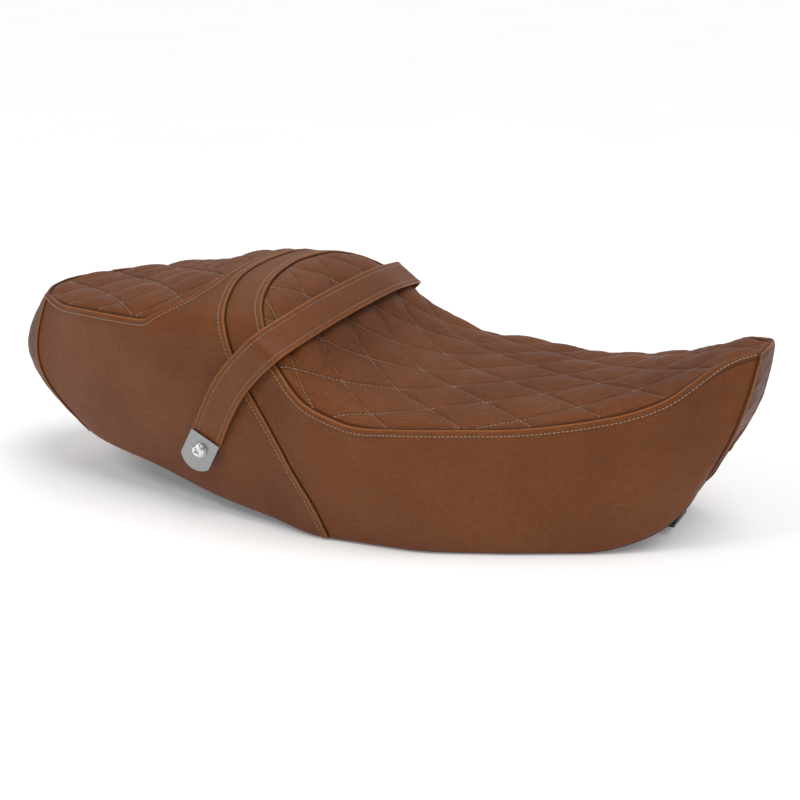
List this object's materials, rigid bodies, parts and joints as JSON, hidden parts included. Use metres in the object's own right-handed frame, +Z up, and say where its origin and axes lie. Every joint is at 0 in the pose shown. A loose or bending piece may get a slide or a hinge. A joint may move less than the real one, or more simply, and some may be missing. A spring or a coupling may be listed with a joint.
{
  "type": "motorcycle seat",
  "caption": "Long dual motorcycle seat with a stepped, diamond-quilted cushion, plain leather skirts and a passenger grab strap that swings on two side screws.",
  "frame": {"origin": "middle of the seat's length and width, at the height of the lowest edge of the skirt", "axes": "+X forward towards the nose, +Y to the rider's left, +Z up"},
  "size_m": [0.7015, 0.301, 0.206],
  "materials": {
    "pan_plastic": "satin",
    "foam": "matte",
    "quilt_foam": "matte",
    "quilted_leather": "satin",
    "plain_leather": "satin",
    "end_leather": "satin",
    "hem_leather": "matte",
    "strap_leather": "satin",
    "plate_steel": "satin",
    "screw_steel": "polished",
    "brass": "satin",
    "black_steel": "satin",
    "damper_rubber": "matte"
  },
  "bodies": {
    "seat": {"seat_pan": "pan_plastic", "foam_core": "foam", "rider_pad": "quilt_foam", "passenger_pad": "quilt_foam", "rider_panel": "quilted_leather", "passenger_panel": "quilted_leather", "front_skirt": "plain_leather", "rear_skirt": "plain_leather", "nose_panel": "end_leather", "tail_panel": "end_leather", "cover_hem": "hem_leather", "hem_staples": "screw_steel", "strap_bush_right": "screw_steel", "strap_bush_left": "screw_steel", "strap_washer_right": "screw_steel", "strap_washer_left": "screw_steel", "strap_screw_right": "screw_steel", "strap_screw_left": "screw_steel", "strap_insert_right": "brass", "strap_insert_left": "brass", "front_hook": "black_steel", "front_hook_rivets": "screw_steel", "latch_striker": "screw_steel", "striker_plate": "black_steel", "striker_nuts": "screw_steel", "front_dampers": "damper_rubber", "middle_dampers": "damper_rubber", "rear_dampers": "damper_rubber"},
    "grab_strap": {"strap": "strap_leather", "strap_plate_right": "plate_steel", "strap_plate_left": "plate_steel"}
  },
  "joints": [
    {"name": "strap_swing", "type": "hinge", "parent": "seat", "child": "grab_strap", "pos_m": [-0.108, 0, 0.065], "axis": [0, -1, 0], "range_deg": [0, 25]}
  ]
}
